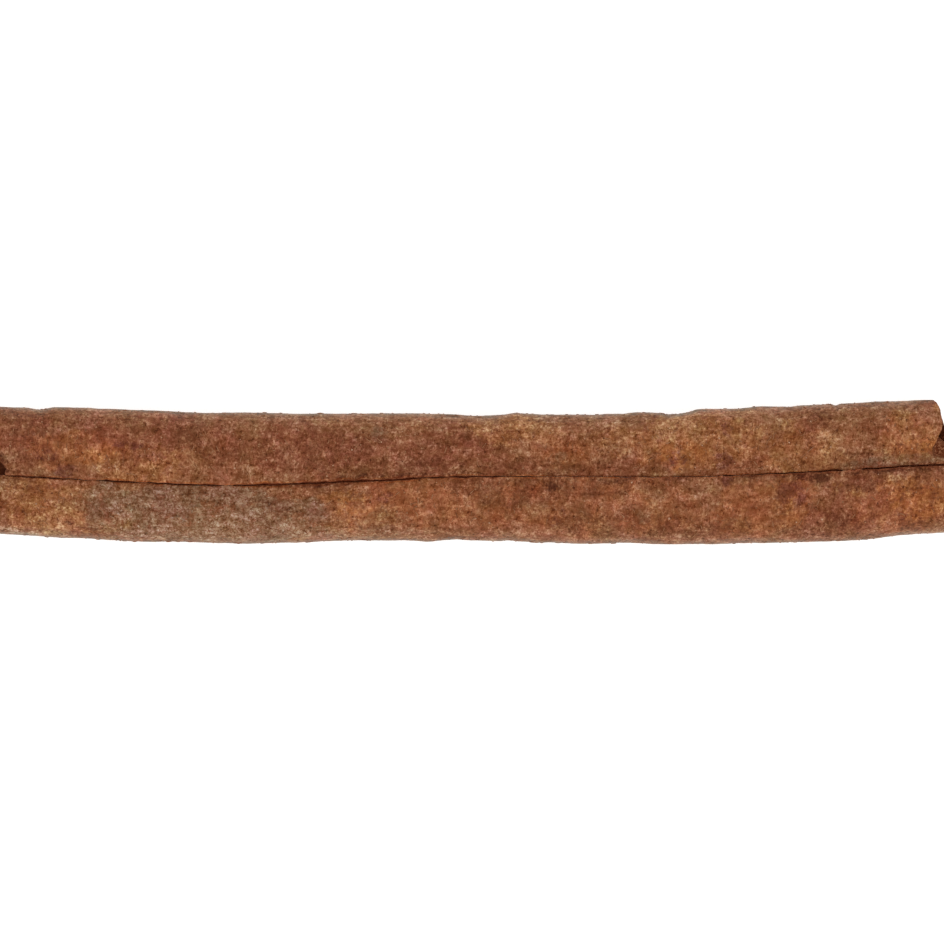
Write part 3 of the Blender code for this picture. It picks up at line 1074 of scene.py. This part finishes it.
def fibre_rings(skin, random):
    """The rings of points round each fibre, which follows the outer face."""
    row, column = skin.scattered(random, FIBRES)
    heading = math.pi / 2.0 + random.normal(0.0, FIBRE_STRAY, FIBRES)
    turning = random.normal(0.0, FIBRE_TURN, FIBRES)
    step = random.uniform(*FIBRE_LENGTH, FIBRES) / (FIBRE_POINTS - 1)
    radius = random.uniform(*FIBRE_RADIUS, FIBRES)
    angles = math.tau * np.arange(FIBRE_SIDES)[:, None] / FIBRE_SIDES
    rings = []
    for number in range(FIBRE_POINTS):
        place, out, along, across = skin.at(row, column)
        out = unit(out)
        ahead = unit(along) * np.cos(heading)[:, None] + unit(across) * np.sin(heading)[:, None]
        aside = unit(np.cross(out, ahead))
        swell = math.sin(math.pi * (number + 0.5) / FIBRE_POINTS)
        thick = radius * (FIBRE_TIP + (1.0 - FIBRE_TIP) * swell)
        middle = place + out * (FIBRE_RISE * radius)[:, None]
        circle = np.cos(angles) * aside[:, None, :] + np.sin(angles) * out[:, None, :]
        rings.append(middle[:, None, :] + thick[:, None, None] * circle)
        row = row + np.cos(heading) * step / np.linalg.norm(along, axis=-1)
        row = np.clip(row, STOP_MARGIN, len(skin.points) - 2.0 - STOP_MARGIN)
        column = column + np.sin(heading) * step / np.linalg.norm(across, axis=-1)
        heading = heading + turning
    return np.stack(rings, axis=1)


def fibre_faces():
    """The faces of one fibre: its sides from ring to ring, and its two ends."""
    around = np.arange(FIBRE_SIDES)
    after = (around + 1) % FIBRE_SIDES
    faces = [around, (FIBRE_POINTS - 1) * FIBRE_SIDES + around]
    for number in range(FIBRE_POINTS - 1):
        low, high = number * FIBRE_SIDES, (number + 1) * FIBRE_SIDES
        faces += list(np.stack([low + around, low + after, high + after, high + around], axis=-1))
    return np.array(faces)


def make_fibres(strip, skin):
    """Fine fibres that have come loose from the outer face and lie on it."""
    random = np.random.default_rng(SEED + 1)
    points = fibre_rings(skin, random).reshape(FIBRES, -1, 3)
    paleness = random.beta(*FIBRE_PALENESS, FIBRES)
    material = loose_bark(
        "fibre_bark", (0.0, 116, 66, 40), (0.5, 140, 90, 60), (1.0, 168, 120, 88)
    )
    make_loose("fibres", strip, points, fibre_faces(), paleness, material)


def make_floor():
    """A pale sheet that glows softly, as a light table does, so that its shadows are faint."""
    corners = SHEET_REACH * np.array([(-1, -1, 0), (1, -1, 0), (1, 1, 0), (-1, 1, 0)])
    paper = Nodes("white_sheet")
    paper.feed({
        "Base Color": (SHEET_WHITE, SHEET_WHITE, SHEET_WHITE, 1.0), "Roughness": 0.9,
        "Emission Color": WHITE, "Emission Strength": SHEET_GLOW,
    })
    floor = make_object("floor", corners, [[0, 1, 2, 3]], [paper.material])


def make_light():
    """An even white light from all around, and a weak, broad one through a window."""
    scene = bpy.context.scene
    world = bpy.data.worlds.new("studio")
    world.use_nodes = True
    background = world.node_tree.nodes["Background"]
    background.inputs["Color"].default_value = WHITE
    background.inputs["Strength"].default_value = AMBIENT
    scene.world = world
    scene.view_settings.view_transform = "Standard"
    sun = bpy.data.lights.new("window", "SUN")
    sun.energy = WINDOW_LIGHT
    sun.angle = math.radians(WINDOW_BREADTH)
    window = add_object("window", sun)
    window.rotation_euler = (math.radians(WINDOW_LEAN), 0.0, math.radians(WINDOW_TURN))


def make_camera():
    """A long lens, high above the stick."""
    camera = bpy.data.cameras.new("camera")
    camera.sensor_width = CAMERA_SENSOR
    camera.lens = CAMERA_LENS
    camera.clip_start, camera.clip_end = CAMERA_NEAREST, CAMERA_FARTHEST
    seat = add_object("camera", camera)
    seat.location = CAMERA_PLACE
    bpy.context.scene.camera = seat


def main():
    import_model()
    strip = Strip(*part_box(NODE))
    skin = make_bark(strip)
    make_crumbs(strip, skin)
    make_fibres(strip, skin)
    make_floor()
    make_light()
    make_camera()


main()
